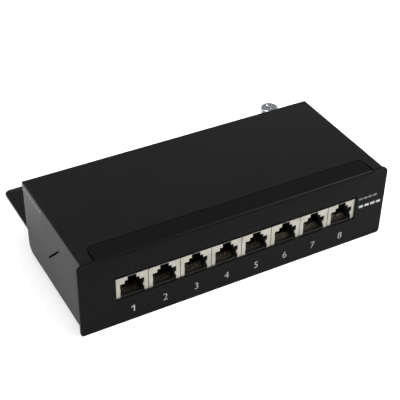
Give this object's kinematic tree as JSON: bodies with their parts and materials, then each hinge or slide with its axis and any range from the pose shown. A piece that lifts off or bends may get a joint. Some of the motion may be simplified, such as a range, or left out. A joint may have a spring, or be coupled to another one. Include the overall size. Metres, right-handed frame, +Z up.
{
  "type": "desktop patch panel",
  "caption": "Small black sheet-metal patch panel for a desk or wall, with a row of shielded modular jacks in front and punch-down blocks, cable comb and earth screw behind.",
  "frame": {"origin": "centre of the bounding box's underside, on the surface the panel stands on", "axes": "+X to the right as seen from the front, -Y out of the port face, +Z up"},
  "size_m": [0.164, 0.1182, 0.0405],
  "materials": {
    "black_powder_coat": "satin fine-texture powder coat",
    "zinc_plate": "bright zinc plate",
    "nickel_shield": "rolled nickel silver",
    "black_moulding": "moulded",
    "ivory_moulding": "moulded",
    "green_board": "solder mask",
    "gold_contact": "gold flash",
    "tin_contact": "tinned",
    "rivet_aluminium": "plain"
  },
  "bodies": {
    "chassis": {"front_panel": "black_powder_coat", "bottom_tray": "black_powder_coat", "pcb": "green_board", "pcb_standoffs": "zinc_plate", "pcb_screws": "zinc_plate", "strain_relief_comb": "zinc_plate", "comb_rivets": "rivet_aluminium", "earth_bracket": "zinc_plate", "earth_rivet": "rivet_aluminium", "earth_nut": "zinc_plate", "jack_shield_1": "nickel_shield", "jack_insert_1": "black_moulding", "idc_block_1": "ivory_moulding", "idc_contacts_1": "tin_contact", "jack_shield_2": "nickel_shield", "jack_insert_2": "black_moulding", "idc_block_2": "ivory_moulding", "idc_contacts_2": "tin_contact", "jack_shield_3": "nickel_shield", "jack_insert_3": "black_moulding", "idc_block_3": "ivory_moulding", "idc_contacts_3": "tin_contact", "jack_shield_4": "nickel_shield", "jack_insert_4": "black_moulding", "idc_block_4": "ivory_moulding", "idc_contacts_4": "tin_contact", "jack_shield_5": "nickel_shield", "jack_insert_5": "black_moulding", "idc_block_5": "ivory_moulding", "idc_contacts_5": "tin_contact", "jack_shield_6": "nickel_shield", "jack_insert_6": "black_moulding", "idc_block_6": "ivory_moulding", "idc_contacts_6": "tin_contact", "jack_shield_7": "nickel_shield", "jack_insert_7": "black_moulding", "idc_block_7": "ivory_moulding", "idc_contacts_7": "tin_contact", "jack_shield_8": "nickel_shield", "jack_insert_8": "black_moulding", "idc_block_8": "ivory_moulding", "idc_contacts_8": "tin_contact"},
    "cover": {"top_cover": "black_powder_coat", "cover_screws": "zinc_plate"},
    "earth_screw": {"earth_screw": "zinc_plate", "earth_spring_washer": "zinc_plate", "earth_flat_washer": "zinc_plate"},
    "contacts_1": {"jack_contacts_1": "gold_contact"},
    "contacts_2": {"jack_contacts_2": "gold_contact"},
    "contacts_3": {"jack_contacts_3": "gold_contact"},
    "contacts_4": {"jack_contacts_4": "gold_contact"},
    "contacts_5": {"jack_contacts_5": "gold_contact"},
    "contacts_6": {"jack_contacts_6": "gold_contact"},
    "contacts_7": {"jack_contacts_7": "gold_contact"},
    "contacts_8": {"jack_contacts_8": "gold_contact"}
  },
  "joints": [
    {"name": "cover_slide", "type": "slide", "parent": "chassis", "child": "cover", "axis": [0, 1, 0], "range_m": [0, 0.13]},
    {"name": "earth_screw_lift", "type": "slide", "parent": "chassis", "child": "earth_screw", "axis": [0, 0, 1], "range_m": [0, 0.004]},
    {"name": "contacts_1_flex", "type": "hinge", "parent": "chassis", "child": "contacts_1", "pos_m": [-0.05592, -0.0564, 0.01495], "axis": [1, 0, 0], "range_deg": [-18, 0], "stiffness_Nm_per_rad": 0.02},
    {"name": "contacts_2_flex", "type": "hinge", "parent": "chassis", "child": "contacts_2", "pos_m": [-0.03976, -0.0564, 0.01495], "axis": [1, 0, 0], "range_deg": [-18, 0], "stiffness_Nm_per_rad": 0.02},
    {"name": "contacts_3_flex", "type": "hinge", "parent": "chassis", "child": "contacts_3", "pos_m": [-0.0236, -0.0564, 0.01495], "axis": [1, 0, 0], "range_deg": [-18, 0], "stiffness_Nm_per_rad": 0.02},
    {"name": "contacts_4_flex", "type": "hinge", "parent": "chassis", "child": "contacts_4", "pos_m": [-0.00744, -0.0564, 0.01495], "axis": [1, 0, 0], "range_deg": [-18, 0], "stiffness_Nm_per_rad": 0.02},
    {"name": "contacts_5_flex", "type": "hinge", "parent": "chassis", "child": "contacts_5", "pos_m": [0.00872, -0.0564, 0.01495], "axis": [1, 0, 0], "range_deg": [-18, 0], "stiffness_Nm_per_rad": 0.02},
    {"name": "contacts_6_flex", "type": "hinge", "parent": "chassis", "child": "contacts_6", "pos_m": [0.02488, -0.0564, 0.01495], "axis": [1, 0, 0], "range_deg": [-18, 0], "stiffness_Nm_per_rad": 0.02},
    {"name": "contacts_7_flex", "type": "hinge", "parent": "chassis", "child": "contacts_7", "pos_m": [0.04104, -0.0564, 0.01495], "axis": [1, 0, 0], "range_deg": [-18, 0], "stiffness_Nm_per_rad": 0.02},
    {"name": "contacts_8_flex", "type": "hinge", "parent": "chassis", "child": "contacts_8", "pos_m": [0.0572, -0.0564, 0.01495], "axis": [1, 0, 0], "range_deg": [-18, 0], "stiffness_Nm_per_rad": 0.02}
  ]
}
